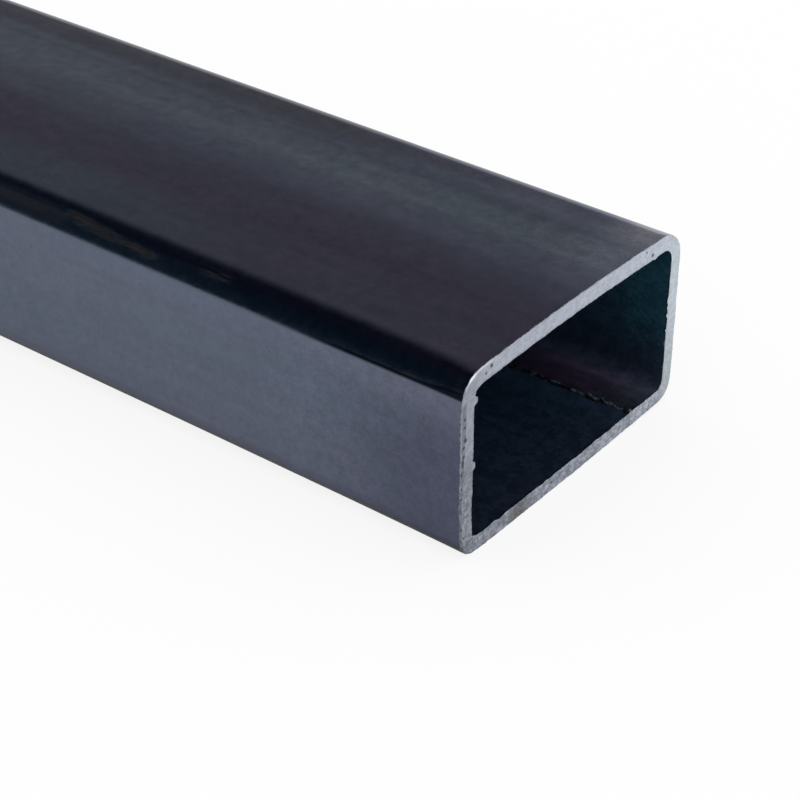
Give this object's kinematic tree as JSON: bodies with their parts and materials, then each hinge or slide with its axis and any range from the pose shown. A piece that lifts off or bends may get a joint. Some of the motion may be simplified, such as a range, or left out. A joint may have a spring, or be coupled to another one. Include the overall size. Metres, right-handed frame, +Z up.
{
  "type": "rectangular steel tube",
  "caption": "Rectangular steel hollow section with rolled corners, an inside weld bead and square sawn open ends, for welded frames.",
  "frame": {"origin": "middle of the lower wide face, which lies on the floor", "axes": "+X along the bar towards the sawn end that the picture shows, +Y across the wide face, +Z up"},
  "size_m": [1, 0.09, 0.05],
  "materials": {
    "mill_scale_steel": "dark blue-grey mill scale with a light oil film, bare bright metal on the sawn ends"
  },
  "bodies": {
    "root": {"tube": "mill_scale_steel"}
  },
  "joints": []
}
